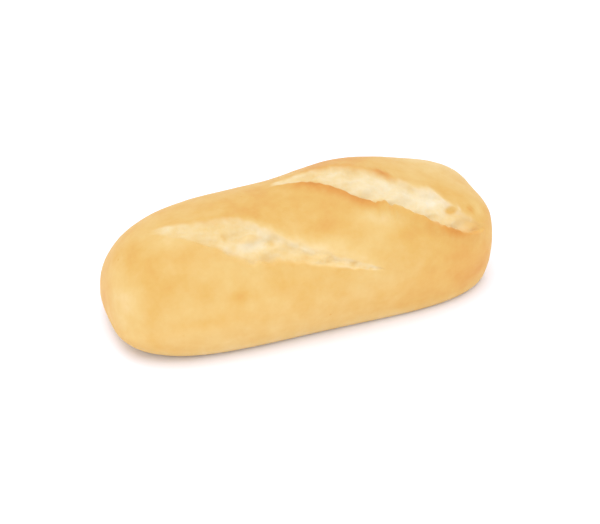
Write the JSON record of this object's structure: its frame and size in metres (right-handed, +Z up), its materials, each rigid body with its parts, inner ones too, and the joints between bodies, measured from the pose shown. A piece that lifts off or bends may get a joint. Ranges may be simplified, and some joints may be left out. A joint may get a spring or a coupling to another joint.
{
  "type": "mini baguette",
  "caption": "Small whole bread loaf with a golden crust, rounded ends, a flat base and open diagonal cuts across its top and front.",
  "frame": {"origin": "on the surface the loaf stands on, under the middle of its box", "axes": "+X along the loaf, with the rounder end at -X; +Z up; the open cuts run from the crest down the side that faces -Y"},
  "size_m": [0.13, 0.0568, 0.0425],
  "materials": {
    "crust": "pale golden baked bread crust, matt to satin, mottled lighter and deeper, with bare cream crumb in the two cuts"
  },
  "bodies": {
    "root": {"mini_baguette": "crust"}
  },
  "joints": []
}
